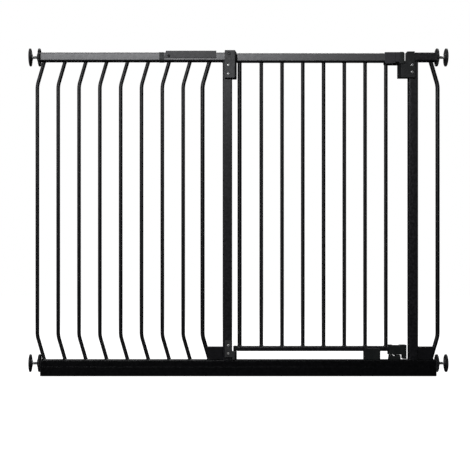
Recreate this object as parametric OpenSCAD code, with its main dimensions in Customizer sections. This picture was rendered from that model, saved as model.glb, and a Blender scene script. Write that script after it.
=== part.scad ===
// Extra-tall pressure-fit pet gate: a walk-through door gate with a fixed bar extension on its left.
// X runs along the gate, Y through it (the door opens towards +Y), Z up from the floor.
// The origin is on the floor, in the middle of the width and of the depth.

/* [Overall] */
// Height from the floor to the top of the frame rails
gate_h = 1033; // [860:1:1300]
// Clear width between the two posts of the gate
passage_w = 563; // [460:1:700]
// Length of the extension rails
extension_w = 524; // [430:1:650]
// Gap between each rail end and the wall, adjusters at rest
wall_gap = 37; // [34:1:45]
// Length of the rail stub between each post and its rail end
stub_w = 56.5; // [50:0.5:70]

/* [Rails and posts] */
// Height of the top rail tube
rail_h = 28; // [24:0.5:34]
// Depth of every frame tube
rail_d = 30; // [26:0.5:36]
// Width of each post
post_w = 30; // [26:0.5:36]
// Height of the base rail
base_h = 53; // [44:1:64]
// Corner radius of the frame tubes
tube_r = 4.5; // [3:0.5:5.5]
// Wall thickness of the frame tubes
tube_t = 1.5; // [1:0.1:2]
// Height of the seam groove along the base rail
seam_z = 31; // [24:1:40]
// Depth of the bottom adjuster spindles below the base rail's top
base_axis_drop = 12; // [10:0.5:16]

/* [Bars] */
// Diameter of the infill bars
bar_d = 12; // [9:0.5:14.5]
// Diameter of the gate's two side bars
side_bar_d = 13.5; // [11:0.5:16]
// Wall thickness of the bars
bar_t = 1.2; // [0.8:0.1:2]
// How far a bent bar steps sideways at each end
bend_in = 22; // [14:1:26]
// Centreline radius of each bend
bend_r = 80; // [60:1:100]
// How far the straight part of the end bars stands past its rail end
bar_overhang = 8; // [4:1:10]

/* [Door] */
// Height of the door's top rail tube
door_rail_h = 28; // [24:0.5:32]
// Depth of the door's top rail tube
door_rail_d = 26; // [22:0.5:30]
// How far the door's top rail sits below the frame rails
door_drop = 2; // [1.5:0.5:6]
// Height of the door's bottom rail
foot_rail_h = 16; // [12:1:20]
// Depth of the door's bottom rail
foot_rail_d = 22; // [18:1:25]
// Gap under the door, above the base rail
foot_gap = 27; // [22:1:36]
// Diameter of the door's hinge-side stile
stile_d = 13.5; // [11:0.5:14.5]
// Number of door bars
door_bars = 7; // [5:1:8]
// Distance from the stile to the first door bar
first_pitch = 69.5; // [60:0.5:80]
// Distance from the last door bar to the latch post
last_gap = 71; // [66:1:80]

/* [Extension] */
// Number of extension bars
extension_bars = 8; // [6:1:9]
// Length of the joint sleeve over the extension rail
sleeve_l = 130; // [90:1:150]
// Length of the joint sleeve over the gate's stub
sleeve_lap = 36; // [24:1:44]
// Thickness of the joint sleeve above the rail
sleeve_top = 4.4; // [3:0.1:6]
// Thickness of the joint sleeve's sides
sleeve_side = 2; // [1.5:0.1:3]

/* [Hinge] */
// Diameter of the hinge pins
pin_d = 6; // [5:0.5:8]
// Distance of the hinge axis from the hinge post
pin_x = 10; // [9.5:0.5:12]
// Distance of the hinge axis behind the middle of the gate
pin_y = 6; // [4:0.5:8]
// Height of each hinge bracket
bracket_h = 88; // [74:1:100]
// How far the upper hinge bracket stands in front of the post
bracket_proud = 9; // [7:0.5:12]

/* [Latch] */
// Length of the latch housing along the door rail
latch_l = 48.5; // [44:0.5:60]
// Height of the latch receiver below the top of the frame rails
receiver_h = 82; // [76:1:96]
// How far the receiver's lower box reaches from the latch post
receiver_reach = 34.5; // [32:0.5:38]
// Free gap between the latch tongue and the receiver
latch_gap = 3.2; // [2.4:0.1:4]
// Travel of the lock bolt
bolt_travel = 12.5; // [11:0.1:13]

/* [Adjusters] */
// Diameter of the hand wheels and wall pads
pad_d = 57; // [50:1:64]
// Diameter of the threaded spindles over the thread
spindle_d = 9.8; // [8:0.1:12]
// Length of each spindle inside its rail end at rest
spindle_in = 46; // [34:1:50]
// Thickness of a hand wheel's rim
wheel_t = 6; // [5:0.1:9]
// Thickness of a wall pad
pad_t = 5; // [4:0.5:9]

/* [Fits] */
// Radial running clearance of pins and spindles
run_gap = 0.05; // [0.02:0.01:0.1]
// Free gap between pieces that pass each other
pass_gap = 0.5; // [0.4:0.1:1]

/* [Hidden] */
$fn = 48;
CORNERS = ["upper_left", "lower_left", "upper_right", "lower_right"];

// Colours
coat_black = [0.10, 0.10, 0.11];
plastic_black = [0.16, 0.16, 0.17];
plastic_dark = [0.09, 0.10, 0.10];
zinc = [0.75, 0.76, 0.78];

// Places along X, from the left rail end to the right one
total_w = 2 * wall_gap + extension_w + 2 * stub_w + 2 * post_w + passage_w;
x_left = -total_w / 2 + wall_gap;
x_join = x_left + extension_w;
x_hinge_out = x_join + stub_w;
x_hinge = x_hinge_out + post_w;
x_latch = x_hinge + passage_w;
x_latch_out = x_latch + post_w;
x_right = x_latch_out + stub_w;

// Heights
rail_low = gate_h - rail_h;
rail_axis_z = gate_h - rail_h / 2;
base_axis_z = base_h - base_axis_drop;
door_top = gate_h - door_drop;
door_rail_low = door_top - door_rail_h;
foot_low = base_h + foot_gap;
foot_top = foot_low + foot_rail_h;
front = -rail_d / 2;

// Bars
lean_x = 0.28;                                     // slope of the bars' ends: the 7-24-25 triangle,
lean_z = 0.96;                                     // so that straight runs meet their bends exactly
bend_h = round(10 * (bend_in * lean_z / lean_x + bend_r * (1 - lean_z) / lean_x)) / 10;
bar_land = 9.5;                                    // from the rail end to the foot of bar 1
joint_land = 48;                                   // from the foot of the last bar to the joint
bar_first = x_left + bar_land - bend_in;
bar_last = x_join - joint_land - bend_in;
bar_pitch = (bar_last - bar_first) / (extension_bars - 1);

// Hinge
hinge_x = x_hinge + pin_x;
eye_r = pin_d / 2 + 3.2;
eye_gap = 0.6;                                     // above and below each hinge eye
arm_w = 11;
eye_insert = 24;
pin_root = 14;                                     // reach of the upper pin below the eye's slot
pin_head = 3.2;                                    // and above it
low_pin_root = base_h + 6;
bracket_low = gate_h - bracket_h + 5;
bracket_top = gate_h + 5;
bracket_front = front - bracket_proud;
bracket_left = x_hinge_out + 6.2;
nose_x = hinge_x + 5;                              // the bracket's rightmost face
nose_front = x_hinge + 8.5;                        // where its front face ends
cheek_y = pin_y - eye_r - 1.2;                     // front edge of the eye's slot
web_t = 1.2;
slot_low = door_rail_low - 1.2;
slot_top = gate_h - 0.7;
low_plate_t = 5;
low_bracket_top = base_h + 62;

// Door
door_x = hinge_x + 6.5;                            // left end of the door rails
stile_x = door_x + 7.5;
door_first = stile_x + first_pitch;
door_last = x_latch - last_gap;
door_pitch = (door_last - door_first) / (door_bars - 1);

// Latch
tongue_tip = x_latch - 13.7;
tongue_l = 14.3;
tongue_x = tongue_tip - tongue_l;                  // joint between housing and tongue
housing_x = tongue_x - latch_l;
housing_low = door_rail_low - 7;
housing_top = door_top + 2;
housing_front = -door_rail_d / 2 - 4;
housing_back = door_rail_d / 2 + 3;
tongue_w = 11;                                     // width of the part that drops in the pocket
tongue_drop = 26;
bolt_w = 11;
bolt_h = 5;
bolt_low = housing_low + 1.2;
bolt_l = 46;
bolt_tip = tongue_tip - 1.3;
ridge_w = 5;
ridge_x = bolt_tip - 34;
slide_proud = 2.2;
slide_gap = 0.1;
receiver_front = front - 7.5;
receiver_low = gate_h - receiver_h;
receiver_top = gate_h + 1.2;
box_top = housing_low - 2;
box_left = x_latch - receiver_reach;
box_front_left = box_left + 8.5;
box_back = 3;
keeper_x = tongue_tip + latch_gap;
keeper_top = bolt_low + bolt_h + 6;
keeper_back = 11;
pocket_low = housing_low - tongue_drop - 6;
receiver_screw_x = x_latch + 9;

// Screws
screw_d = 4.4;
screw_head_d = 8.4;
screw_head_t = 2.4;
screw_in = 4;                                      // reach of a screw past the tube's wall
bracket_screw_x = (x_hinge_out + x_hinge) / 2 + 2.3;
low_screw_z = [base_h + 20, base_h + 46];
sleeve_screw_x = x_join - sleeve_l + 14.4;
sleeve_screw_z = gate_h - 12;

// Lower latch
catch_x = x_latch - 62.6;
catch_l = 37;
catch_h = 14;
low_housing_x = door_last + bar_d / 2 + 1;
low_housing_r = x_latch - 7;
low_housing_low = base_h + catch_h + 2.2;
low_housing_top = foot_top + 4;
low_housing_d = 28;
nub_r = 3;
nub_x = catch_x + catch_l / 2;
stop_x = door_last - 71;
stop_l = 51;

// Adjusters
wheel_x = 2.3;                                     // from the rail end to the wheel
hub_d = 25;
hub_t = 4;
flutes = 16;
flute_d = 6;
bush_l = 16;
bush_flange = 1.8;
pad_boss_d = 22;
pad_boss_t = 4;
pad_socket = 5;

// ---- helpers ----

// A rectangle with round corners
module rounded(w, h, r) {
    square([w - 2 * r, h], center = true);
    square([w, h - 2 * r], center = true);
    for (sx = [-1, 1], sy = [-1, 1])
        translate([sx * (w / 2 - r), sy * (h / 2 - r)]) circle(r);
}

// The section of a tube
module tube_section(w, h, r, t) {
    difference() {
        rounded(w, h, r);
        rounded(w - 2 * t, h - 2 * t, r - t);
    }
}

// Sweeps a section drawn as (Y, Z) along X
module along_x(from, to) {
    translate([from, 0, 0]) rotate([90, 0, 90]) linear_extrude(to - from) children();
}

// Sweeps an outline drawn as (X, Z) along Y
module along_y(from, to) {
    translate([0, to, 0]) rotate([90, 0, 0]) linear_extrude(to - from) children();
}

// Sweeps an outline drawn as (X, Y) along Z
module along_z(from, to) {
    translate([0, 0, from]) linear_extrude(to - from) children();
}

// A box given by its lowest and highest corners
module block(low, high) {
    translate(low) cube(high - low);
}

// The frame's top rail section, and what fits inside it
module rail_section() {
    translate([0, rail_axis_z]) tube_section(rail_d, rail_h, tube_r, tube_t);
}
module rail_bore_section() {
    translate([0, rail_axis_z]) rounded(rail_d - 2 * tube_t, rail_h - 2 * tube_t, tube_r - tube_t);
}

// The base rail section with its seam grooves, and what fits inside it
module base_section() {
    groove = 0.7;
    difference() {
        translate([0, base_h / 2]) tube_section(rail_d, base_h, tube_r, tube_t);
        for (s = [-1, 1]) translate([s * rail_d / 2, seam_z]) square(2 * groove, center = true);
    }
}
module base_bore_section() {
    translate([0, base_h / 2]) rounded(rail_d - 2 * tube_t, base_h - 2 * tube_t, tube_r - tube_t);
}

// One end of a bent rod: the bend and the sloping run, from the straight part up
module bend_end(d) {
    span = 2 * bend_r;
    intersection() {
        translate([-bend_r, 0, 0]) rotate([90, 0, 0])
            rotate_extrude(angle = 90) translate([bend_r, 0]) circle(d = d);
        translate([-bend_r, 0, 0]) along_y(-d, d)
            polygon([[0, 0], [span, 0], [span, span * lean_x / lean_z], [span * lean_z, span * lean_x]]);
    }
    translate([-bend_r * (1 - lean_z), 0, bend_r * lean_x])
        multmatrix([[lean_z, 0, -lean_x, 0], [0, 1, 0, 0], [lean_x, 0, lean_z, 0], [0, 0, 0, 1]])
            cylinder(d = d, h = 1.3 * bend_h);
}

// A rod that is straight in its middle and steps towards -X at both ends
module bent_rod(d) {
    low = base_h + bend_h;
    high = rail_low - bend_h;
    translate([0, 0, low]) cylinder(d = d, h = high - low);
    translate([0, 0, high]) bend_end(d);
    translate([0, 0, low]) mirror([0, 0, 1]) bend_end(d);
}

// A bent bar between the base rail and the top rail; bow is 1 for a bar that bows out towards +X
module bent_bar(x, d, bow) {
    translate([x, 0, 0]) mirror([bow > 0 ? 0 : 1, 0, 0]) intersection() {
        difference() {
            bent_rod(d);
            bent_rod(d - 2 * bar_t);
        }
        block([-bend_in - 3 * d, -d, base_h], [2 * d, d, rail_low]);
    }
}

// A straight hollow bar
module straight_bar(x, d, low, high) {
    translate([x, 0, low]) difference() {
        cylinder(d = d, h = high - low);
        translate([0, 0, -1]) cylinder(d = d - 2 * bar_t, h = high - low + 2);
    }
}

// A pan-head screw driven towards +Y, its head seated on the plane at y
module screw(x, y, z, grip) {
    translate([x, y, z]) rotate([-90, 0, 0]) {
        cylinder(d = screw_d, h = grip + tube_t + screw_in);
        translate([0, 0, -screw_head_t]) cylinder(d = screw_head_d, h = screw_head_t);
    }
}
module screw_hole(x, z) {
    translate([x, 1.5 * front, z]) rotate([-90, 0, 0]) cylinder(d = screw_d, h = rail_d / 2);
}

// Screw places on the hinge post and on the latch post
bracket_screw_z = [gate_h - 43, gate_h - 70.5];
receiver_screw_z = [gate_h - 42, gate_h - 64.5];

// ---- frame of the gate ----

module base_rail() {
    color(coat_black) along_x(x_join, x_right) base_section();
}

// A post to the right of x, its ends coped over the round corners of the rails
module post(x) {
    cope = tube_r - tube_t;
    difference() {
        along_z(base_h - cope, rail_low + cope) translate([x + post_w / 2, 0])
            tube_section(post_w, rail_d, tube_r, tube_t);
        along_x(x - 1, x + post_w + 1) {
            translate([0, base_h / 2]) rounded(rail_d, base_h, tube_r);
            translate([0, rail_axis_z]) rounded(rail_d, rail_h, tube_r);
        }
    }
}

module hinge_post() {
    color(coat_black) difference() {
        post(x_hinge_out);
        for (z = concat(bracket_screw_z, low_screw_z)) screw_hole(bracket_screw_x, z);
    }
}

module latch_post() {
    color(coat_black) difference() {
        post(x_latch);
        for (z = receiver_screw_z) screw_hole(receiver_screw_x, z);
    }
}

module left_top_stub() {
    color(coat_black) along_x(x_join, x_hinge) rail_section();
}

module right_top_stub() {
    color(coat_black) along_x(x_latch, x_right) rail_section();
}

module left_side_bar() {
    color(coat_black) bent_bar(x_join - bar_overhang, side_bar_d, -1);
}

module right_side_bar() {
    color(coat_black) bent_bar(x_right + bar_overhang, side_bar_d, 1);
}

// A gusset block between a post and the foot of its side bar, to the right of x
module gusset(x, bar_x) {
    h = 41;
    d = 2 * rail_d / 3;
    foot = bar_x - bend_in;
    head = foot + h * lean_x / lean_z;
    difference() {
        along_y(-d / 2, d / 2)
            polygon([[x, base_h], [foot, base_h], [head, base_h + h], [x, base_h + h]]);
        translate([bar_x, 0, 0]) bent_rod(side_bar_d);
    }
}

module left_gusset() {
    color(coat_black) mirror([1, 0, 0]) gusset(-x_hinge_out, -(x_join - bar_overhang));
}

module right_gusset() {
    color(coat_black) gusset(x_latch_out, x_right + bar_overhang);
}

// ---- hinge ----

// The upper pin, which also cuts its own hole in the bracket
module upper_pin() {
    translate([hinge_x, pin_y, slot_low - pin_root])
        cylinder(d = pin_d, h = pin_root + slot_top - slot_low + pin_head);
}

// Plan of the upper bracket to the right of the post: a nose that widens towards its back
module nose_plan() {
    polygon([[x_hinge, bracket_front], [nose_front, bracket_front], [nose_x, cheek_y - 4],
             [nose_x, pin_y + eye_r], [x_hinge, pin_y + eye_r]]);
}

module upper_hinge_bracket() {
    chamfer = 6;
    mark_d = 9;
    color(plastic_black) difference() {
        union() {
            // the cover in front of the post
            block([bracket_left, bracket_front, bracket_low], [x_hinge, front, bracket_top]);
            // the block beside the post, with the slot for the eye left open
            along_z(bracket_low, slot_low) nose_plan();
            along_z(slot_low, slot_top) intersection() {
                nose_plan();
                union() {
                    translate([x_hinge, bracket_front]) square([pin_x * 2, cheek_y - bracket_front]);
                    translate([x_hinge, bracket_front]) square([web_t, rail_d * 2]);
                }
            }
            along_z(slot_top, bracket_top) nose_plan();
            // the cap over the end of the rail
            block([bracket_left, front, gate_h], [x_hinge, pin_y + eye_r, bracket_top]);
        }
        upper_pin();
        for (z = bracket_screw_z) translate([bracket_screw_x, bracket_front - 1, z]) rotate([-90, 0, 0])
            cylinder(d = screw_d, h = bracket_proud + 2);
        // the sloping top right corner
        along_y(bracket_front - 1, rail_d)
            polygon([[nose_x - chamfer, bracket_top + 0.01], [nose_x + 1, bracket_top + 0.01],
                     [nose_x + 1, bracket_top - chamfer], [nose_x, bracket_top - chamfer]]);
        // a round mark sunk in the cover
        translate([bracket_screw_x + 2.4, bracket_front - 1, gate_h - 6]) rotate([-90, 0, 0])
            difference() {
                cylinder(d = mark_d, h = 1.4);
                translate([0, 0, -1]) cylinder(d = mark_d - 1.4, h = 4);
            }
    }
}

module lower_hinge_bracket() {
    color(plastic_black) difference() {
        union() {
            block([bracket_left, front - low_plate_t, base_h + 8], [x_hinge, front, low_bracket_top]);
            along_z(base_h, foot_low - eye_gap)
                polygon([[x_hinge, front - low_plate_t], [nose_front, front - low_plate_t],
                         [nose_x, cheek_y - 4], [nose_x, pin_y + eye_r], [x_hinge, pin_y + eye_r]]);
        }
        translate([hinge_x, pin_y, low_pin_root]) cylinder(d = pin_d, h = base_h);
        for (z = low_screw_z) translate([bracket_screw_x, front - low_plate_t - 1, z])
            rotate([-90, 0, 0]) cylinder(d = screw_d, h = low_plate_t + 2);
    }
}

module hinge_pins() {
    color(zinc) {
        upper_pin();
        translate([hinge_x, pin_y, low_pin_root]) cylinder(d = pin_d, h = foot_top + 1 - low_pin_root);
    }
}

module frame_screws() {
    color(zinc) {
        for (z = bracket_screw_z) screw(bracket_screw_x, bracket_front, z, bracket_proud);
        for (z = low_screw_z) screw(bracket_screw_x, front - low_plate_t, z, low_plate_t);
        for (z = receiver_screw_z) screw(receiver_screw_x, receiver_front, z, front - receiver_front);
        screw(sleeve_screw_x, front - sleeve_side, sleeve_screw_z, sleeve_side);
    }
}

// The door's eye on a hinge pin, with its arm and the plug that fills the rail's end
module hinge_eye(low, high, plug_w, plug_h) {
    mid = (low + high) / 2;
    translate([hinge_x, pin_y, 0]) difference() {
        along_z(low, high) {
            circle(eye_r);
            translate([0, eye_r - arm_w]) square([door_x - hinge_x, arm_w]);
        }
        translate([0, 0, low - 1]) cylinder(d = pin_d + 2 * run_gap, h = high - low + 2);
    }
    along_x(door_x, door_x + eye_insert) translate([0, mid]) rounded(plug_w, plug_h, tube_r - tube_t);
}

module hinge_eyes() {
    color(plastic_dark) {
        hinge_eye(door_rail_low + eye_gap, door_top - eye_gap,
                  door_rail_d - 2 * tube_t, door_rail_h - 2 * tube_t);
        hinge_eye(foot_low, foot_top, foot_rail_d - 2 * tube_t, foot_rail_h - 2 * tube_t);
    }
}

// ---- latch side of the frame ----

module receiver_face() {
    polygon([[keeper_x + 3.5, receiver_top], [x_latch + 17.3, receiver_top],
             [x_latch + 18.8, receiver_low], [box_front_left, receiver_low],
             [box_front_left, box_top], [tongue_tip + 1.4, box_top + 0.5],
             [tongue_tip + 1.4, housing_low + 11.5], [keeper_x + 2.8, gate_h - 10]]);
}

module latch_receiver() {
    color(plastic_black) difference() {
        union() {
            along_y(receiver_front, front) receiver_face();
            // the box beside the post that takes the tongue
            along_z(receiver_low, box_top)
                polygon([[box_front_left, receiver_front], [x_latch, receiver_front],
                         [x_latch, box_back], [box_left, box_back], [box_left, front + 9]]);
            // the keeper that takes the lock bolt, up against the end of the rail
            block([keeper_x, front, box_top], [x_latch, keeper_back, keeper_top]);
            block([keeper_x + 3.5, front, keeper_top], [x_latch, keeper_back, receiver_top]);
        }
        // the tongue's pocket, open at its top and its back
        block([tongue_tip - tongue_w - 2.5, front, pocket_low], [tongue_tip + 2, box_back + 1, box_top + 0.01]);
        // the bolt's window
        block([keeper_x - 1, -bolt_w / 2 - pass_gap, bolt_low - pass_gap],
              [x_latch + 0.01, bolt_w / 2 + pass_gap, bolt_low + bolt_h + pass_gap]);
        for (z = receiver_screw_z) translate([receiver_screw_x, receiver_front - 1, z])
            rotate([-90, 0, 0]) cylinder(d = screw_d, h = front - receiver_front + 2);
    }
}

module floor_catch() {
    d = 24;
    color(plastic_dark) difference() {
        along_y(-d / 2, d / 2)
            polygon([[catch_x, base_h], [catch_x + catch_l, base_h],
                     [catch_x + catch_l, base_h + catch_h], [catch_x + 2, base_h + catch_h]]);
        // the groove that the door's centring nub runs through
        translate([nub_x, 0, base_h + catch_h]) rotate([90, 0, 0])
            cylinder(r = nub_r + 1, h = 2 * d, center = true);
    }
}

// The stop block, whose front lip keeps the door from opening towards -Y
module door_stop() {
    lip_t = 4;
    lip_h = 9;
    lip_y = -foot_rail_d / 2 - pass_gap;
    color(plastic_dark) {
        block([stop_x, lip_y, base_h], [stop_x + stop_l, foot_rail_d / 2, foot_low - pass_gap]);
        block([stop_x, lip_y - lip_t, base_h], [stop_x + stop_l, lip_y, foot_low + lip_h]);
    }
}

// ---- extension ----

module extension_top_rail() {
    color(coat_black) difference() {
        along_x(x_left, x_join) rail_section();
        screw_hole(sleeve_screw_x, sleeve_screw_z);
    }
}

module extension_base_rail() {
    color(coat_black) along_x(x_left, x_join) base_section();
}

module extension_bar(i) {
    color(coat_black) bent_bar(bar_first + (i - 1) * bar_pitch, bar_d, -1);
}

// The saddle over the joint between the extension's rail and the gate's stub
module top_joint_sleeve() {
    from = x_join - sleeve_l;
    to = x_join + sleeve_lap;
    low = gate_h - 18.5;
    slope = 5.4;
    color(coat_black) difference() {
        block([from, front - sleeve_side, low], [to, -front + sleeve_side, gate_h + sleeve_top]);
        along_x(from - 1, to + 1) {
            translate([0, rail_axis_z]) rounded(rail_d, rail_h, tube_r);
            translate([-rail_d / 2, rail_low]) square([rail_d, rail_h / 2]);
        }
        along_y(-rail_d, rail_d)
            polygon([[from - 1, low - 1], [from, low], [from + slope, gate_h + sleeve_top + 0.01],
                     [from - 1, gate_h + sleeve_top + 0.01]]);
        translate([sleeve_screw_x, front - sleeve_side - 1, sleeve_screw_z]) rotate([-90, 0, 0])
            cylinder(d = screw_d, h = sleeve_side + 2);
    }
}

module base_spigot() {
    half = 78;
    color(coat_black) along_x(x_join - half, x_join + half) difference() {
        base_bore_section();
        translate([0, base_h / 2])
            rounded(rail_d - 4 * tube_t, base_h - 4 * tube_t, tube_r - tube_t);
    }
}

module sleeve_collar() {
    collar_l = 16;
    collar_t = 0.8;
    from = x_join - sleeve_l - collar_l;
    color(plastic_dark) along_x(from, from + collar_l) translate([0, rail_axis_z]) difference() {
        rounded(rail_d + 2 * collar_t, rail_h + 2 * collar_t, tube_r + collar_t);
        rounded(rail_d, rail_h, tube_r);
    }
}

// ---- rail ends ----

// A plug for each end of a rail, bored for a spindle at axis_z; its flange covers the tube's edge
module end_plugs(axis_z, flange_mid, flange_h) {
    for (flip = [0, 1]) mirror([flip, 0, 0]) difference() {
        union() {
            along_x(x_right - bush_l, x_right) children();
            along_x(x_right, x_right + bush_flange)
                translate([0, flange_mid]) rounded(rail_d - 1, flange_h, tube_r);
        }
        translate([x_right - bush_l - 1, 0, axis_z]) rotate([0, 90, 0])
            cylinder(d = spindle_d + 2 * run_gap, h = bush_l + 10);
    }
}

module base_end_caps() {
    color(plastic_black) end_plugs(base_axis_z, base_h / 2, base_h - 1) base_bore_section();
}

module top_end_bushes() {
    color(plastic_black) end_plugs(rail_axis_z, rail_axis_z, rail_h - 1) rail_bore_section();
}

// ---- door ----

module door_top_rail() {
    color(coat_black) along_x(door_x, tongue_x) translate([0, door_top - door_rail_h / 2])
        tube_section(door_rail_d, door_rail_h, tube_r, tube_t);
}

module door_bottom_rail() {
    color(coat_black) along_x(door_x, low_housing_x + 20) translate([0, foot_low + foot_rail_h / 2])
        tube_section(foot_rail_d, foot_rail_h, tube_r, tube_t);
}

module hinge_stile() {
    color(coat_black) straight_bar(stile_x, stile_d, foot_top, door_rail_low);
}

module door_bar(i) {
    color(coat_black) straight_bar(door_first + (i - 1) * door_pitch, bar_d, foot_top, door_rail_low);
}

module latch_housing() {
    color(plastic_black) difference() {
        block([housing_x, housing_front, housing_low], [tongue_x, housing_back, housing_top]);
        // the door rail passes through
        along_x(housing_x - 1, tongue_x + 1) translate([0, door_top - door_rail_h / 2])
            rounded(door_rail_d, door_rail_h, tube_r);
        // the channel of the lock bolt, and the window of its stem
        block([bolt_tip - bolt_l - pass_gap, -bolt_w / 2 - pass_gap, bolt_low - 0.3],
              [tongue_x + 1, bolt_w / 2 + pass_gap, bolt_low + bolt_h + 0.3]);
        block([ridge_x - 1 - pass_gap, housing_front - 1, bolt_low - 0.3],
              [ridge_x + ridge_w + 1 + bolt_travel + pass_gap, 0, bolt_low + bolt_h + 0.3]);
        // the open notch over the last door bar
        along_z(housing_low - 1, door_rail_low) {
            translate([door_last, 0]) circle(d = bar_d);
            translate([housing_x - 1, -bar_d / 2]) square([door_last - housing_x + 1, bar_d]);
        }
        // the sloping lower left edge
        along_y(housing_front - 1, housing_back + 1)
            polygon([[housing_x - 1, housing_low - 1], [housing_x + 5, housing_low - 1],
                     [housing_x, housing_low + 3], [housing_x - 1, housing_low + 3]]);
    }
}

module latch_tongue() {
    nose_r = 7;
    color(plastic_dark) difference() {
        union() {
            along_y(housing_front, housing_back) {
                translate([tongue_x, housing_low]) square([tongue_l, housing_top + 1 - housing_low - nose_r]);
                translate([tongue_x, housing_low]) square([tongue_l - nose_r, housing_top + 1 - housing_low]);
                translate([tongue_tip - nose_r, housing_top + 1 - nose_r]) circle(nose_r);
            }
            block([tongue_tip - tongue_w, front + 4, housing_low - tongue_drop], [tongue_tip - 0.8, 0, housing_low]);
        }
        block([tongue_x - 1, -bolt_w / 2 - pass_gap, bolt_low - 0.3],
              [tongue_tip + 1, bolt_w / 2 + pass_gap, bolt_low + bolt_h + 0.3]);
    }
}

module lower_latch_housing() {
    leg_w = 12.5;
    dip = 1.6;
    color(plastic_dark) difference() {
        union() {
            block([low_housing_x, -low_housing_d / 2, low_housing_low],
                  [low_housing_r, low_housing_d / 2, low_housing_top]);
            block([low_housing_r - leg_w, -low_housing_d / 2, base_h + 2.5],
                  [low_housing_r, low_housing_d / 2, low_housing_low]);
            translate([nub_x, 0, low_housing_low]) rotate([90, 0, 0])
                cylinder(r = nub_r, h = low_housing_d - 6, center = true);
        }
        along_x(low_housing_x - 1, low_housing_x + 20) translate([0, foot_low + foot_rail_h / 2])
            rounded(foot_rail_d, foot_rail_h, tube_r);
        block([low_housing_x + 14, -rail_d, low_housing_top - dip],
              [low_housing_x + 36, rail_d, low_housing_top + 1]);
    }
}

module lock_bolt() {
    color(zinc) block([bolt_tip - bolt_l, -bolt_w / 2, bolt_low], [bolt_tip, bolt_w / 2, bolt_low + bolt_h]);
}

// The thumb slide: a stem from the bolt through the housing, and the ridge that a thumb pushes
module thumb_slide() {
    color(plastic_black) {
        block([ridge_x - 1, housing_front - slide_gap, bolt_low],
              [ridge_x + ridge_w + 1, -bolt_w / 2, bolt_low + bolt_h]);
        block([ridge_x, housing_front - slide_gap - slide_proud, bolt_low],
              [ridge_x + ridge_w, housing_front - slide_gap, housing_top - 2]);
    }
}

// ---- adjusters ----

// Puts a right-hand adjuster, drawn along +X from the rail end at the axis, in its corner
module at_corner(c) {
    z = (c == "upper_left" || c == "upper_right") ? rail_axis_z : base_axis_z;
    flip = (c == "upper_left" || c == "lower_left") ? 1 : 0;
    mirror([flip, 0, 0]) translate([x_right, 0, z]) rotate([0, 90, 0]) children();
}

module spindle(c) {
    color(zinc) at_corner(c) translate([0, 0, -spindle_in])
        cylinder(d = spindle_d, h = spindle_in + wall_gap - pad_t + pad_socket - pad_boss_t);
}

module hand_wheel(c) {
    color(plastic_black) at_corner(c) translate([0, 0, wheel_x]) difference() {
        union() {
            cylinder(d = pad_d, h = wheel_t);
            cylinder(d = hub_d, h = wheel_t + hub_t);
        }
        translate([0, 0, -1]) cylinder(d = spindle_d + 2 * run_gap, h = wheel_t + hub_t + 2);
        for (i = [0 : flutes - 1]) rotate(i * 360 / flutes)
            translate([pad_d / 2 + 0.8, 0, -1]) cylinder(d = flute_d, h = wheel_t + 2);
    }
}

module wall_pad(c) {
    color(plastic_black) at_corner(c) difference() {
        union() {
            translate([0, 0, wall_gap - pad_t]) cylinder(d = pad_d, h = pad_t);
            translate([0, 0, wall_gap - pad_t - pad_boss_t]) cylinder(d = pad_boss_d, h = pad_boss_t);
        }
        translate([0, 0, wall_gap - pad_t - pad_boss_t - 1]) cylinder(d = spindle_d, h = pad_socket + 1);
    }
}

// ---- nodes ----

base_rail();
hinge_post();
latch_post();
left_top_stub();
right_top_stub();
left_side_bar();
right_side_bar();
left_gusset();
right_gusset();
upper_hinge_bracket();
lower_hinge_bracket();
hinge_pins();
frame_screws();
latch_receiver();
floor_catch();
door_stop();
extension_top_rail();
extension_base_rail();
top_joint_sleeve();
base_spigot();
sleeve_collar();
base_end_caps();
top_end_bushes();
door_top_rail();
door_bottom_rail();
hinge_stile();
hinge_eyes();
latch_housing();
latch_tongue();
lower_latch_housing();
lock_bolt();
thumb_slide();
for (i = [1 : extension_bars])
    extension_bar(i);
for (i = [1 : door_bars])
    door_bar(i);
for (c = CORNERS)
    spindle(c);
for (c = CORNERS)
    hand_wheel(c);
for (c = CORNERS)
    wall_pad(c);
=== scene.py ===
"""Extra-tall pressure-fit pet gate: coated tubes, moulded fittings and plated hardware."""

import logging
import math
from dataclasses import dataclass, field
from enum import Enum
from typing import Sequence

import bmesh
import bpy
import numpy as np
from mathutils import Matrix, Vector


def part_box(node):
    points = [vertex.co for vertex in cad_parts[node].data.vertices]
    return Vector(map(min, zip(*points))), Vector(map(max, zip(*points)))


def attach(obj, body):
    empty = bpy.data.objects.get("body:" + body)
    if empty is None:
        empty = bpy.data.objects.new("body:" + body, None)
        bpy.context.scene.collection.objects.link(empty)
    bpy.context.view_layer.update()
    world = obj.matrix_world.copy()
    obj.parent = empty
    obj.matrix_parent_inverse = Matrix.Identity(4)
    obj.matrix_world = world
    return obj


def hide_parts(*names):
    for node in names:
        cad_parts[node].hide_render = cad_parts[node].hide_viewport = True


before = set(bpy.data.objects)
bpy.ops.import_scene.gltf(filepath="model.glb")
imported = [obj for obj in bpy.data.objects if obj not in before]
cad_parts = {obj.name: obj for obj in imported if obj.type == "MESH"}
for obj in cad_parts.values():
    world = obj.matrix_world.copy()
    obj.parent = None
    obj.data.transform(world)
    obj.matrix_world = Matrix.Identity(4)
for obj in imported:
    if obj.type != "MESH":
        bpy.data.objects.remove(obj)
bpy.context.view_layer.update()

LOG = logging.getLogger("pet_gate")
MM = 0.001
TAU = 2 * math.pi
MERGE_DISTANCE = 0.002 * MM                     # vertices nearer than this are one
FLAT_TURN = math.radians(0.6)                   # faces that turn less than this are one
MIDDLE = (0.3, 0.7)                             # the band that most of a noise's values lie in

Point = tuple[float, float, float]
Colour = tuple[float, float, float]


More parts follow.
